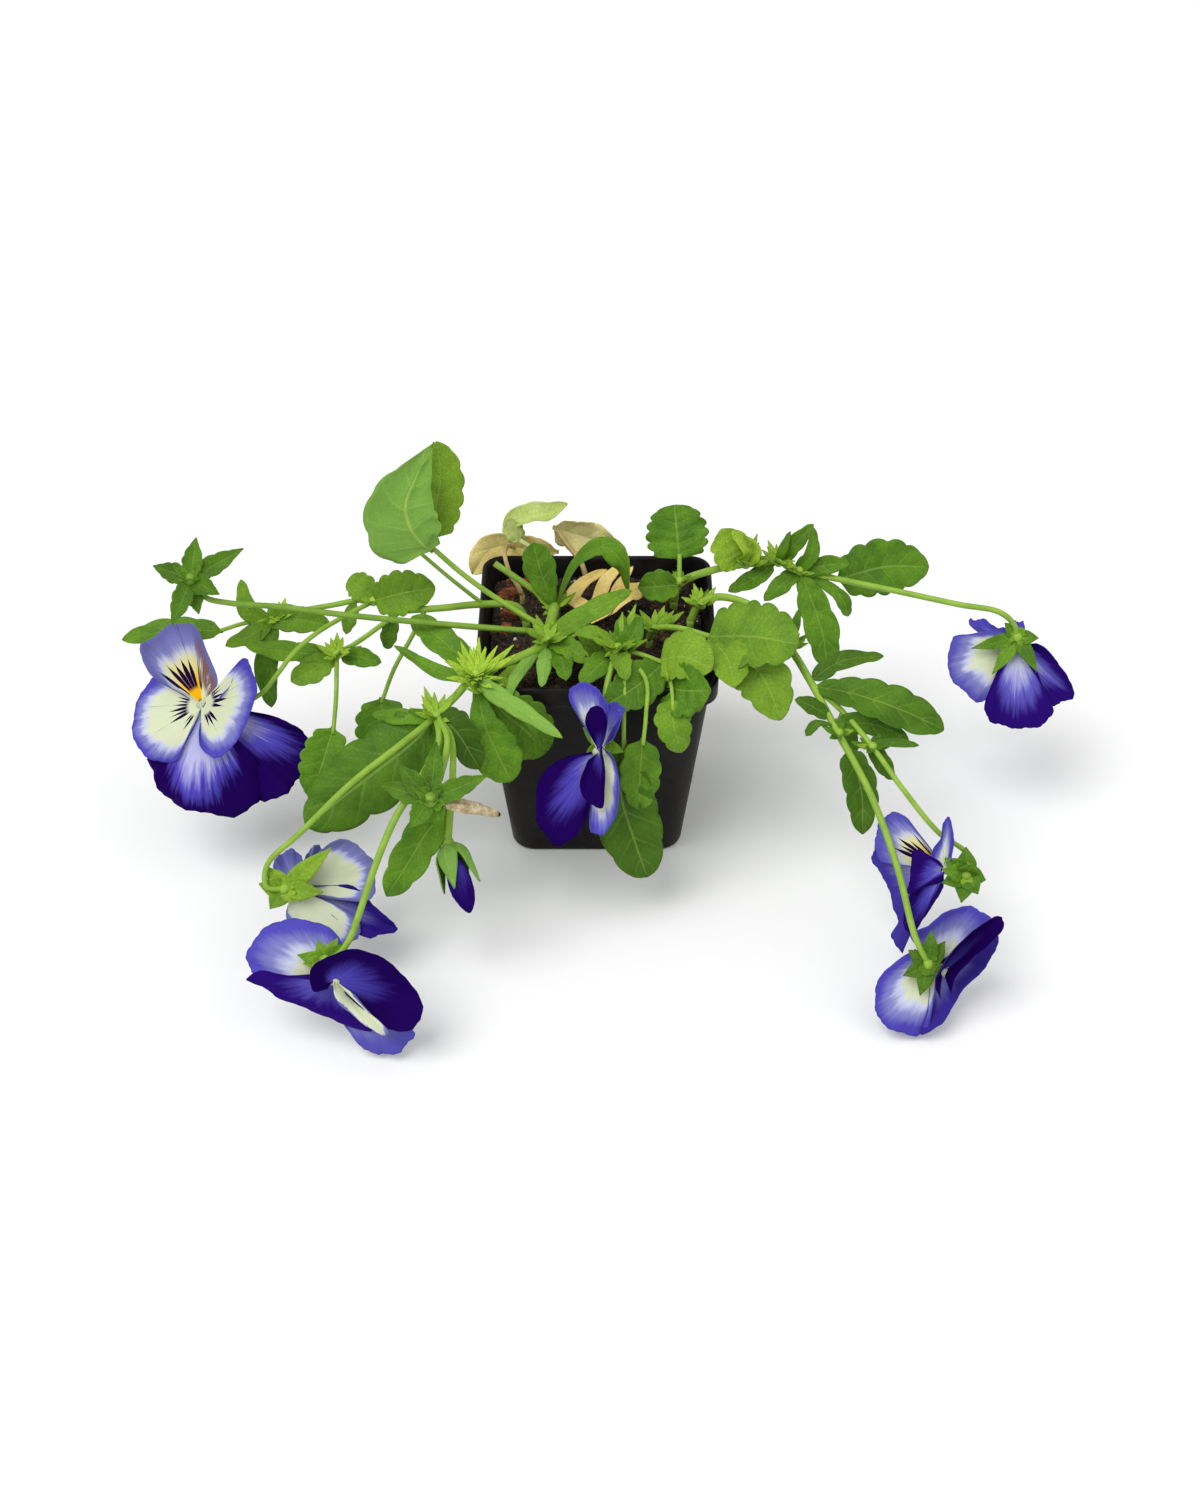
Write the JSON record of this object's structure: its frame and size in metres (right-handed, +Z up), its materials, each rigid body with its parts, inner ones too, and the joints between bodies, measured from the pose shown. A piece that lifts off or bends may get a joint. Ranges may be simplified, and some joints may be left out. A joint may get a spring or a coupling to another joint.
{
  "type": "potted pansy plant",
  "caption": "Square tapered nursery pot of potting soil with a sprawling pansy: leafy stems hang over the rim and carry two-tone blooms, a bud and spent calyxes.",
  "frame": {"origin": "centre of the underside of the pot", "axes": "+Z up; +X along the longest spread of the plant; -Y towards the side the blooms hang down on"},
  "size_m": [0.3656, 0.1994, 0.1601],
  "materials": {
    "pot_plastic": "thin black nursery-pot plastic, lightly scuffed",
    "soil": "dark crumbly potting soil with perlite and root threads",
    "bark": "dry reddish-brown composted bark",
    "foliage": "soft leaf green, satin, veined",
    "pale_foliage": "pale yellow-green leaf, satin",
    "dead_leaf": "dry straw-yellow dead leaf",
    "petals": "velvety violet petals with cream centres and a yellow eye",
    "dried_petals": "shrivelled tan petals"
  },
  "bodies": {
    "root": {"pot": "pot_plastic", "potting_soil": "soil", "bark_chip_1": "bark", "bark_chip_2": "bark", "bark_chip_3": "bark", "bark_chip_4": "bark", "bark_chip_5": "bark", "stem_left": "foliage", "stem_front_left": "foliage", "stem_centre": "foliage", "leaf_right_inner": "foliage", "stem_right_back": "foliage", "stem_right_front": "foliage", "curled_leaf_rear": "pale_foliage", "dead_leaf_rear_left": "dead_leaf", "dead_leaf_rear": "dead_leaf", "dead_leaf_centre": "dead_leaf", "bud_petals": "petals", "dried_bud": "dried_petals", "bloom_a": "petals", "bloom_b": "petals", "bloom_c": "petals", "bloom_d": "petals", "bloom_e": "petals", "bloom_f": "petals", "bloom_g": "petals"}
  },
  "joints": []
}
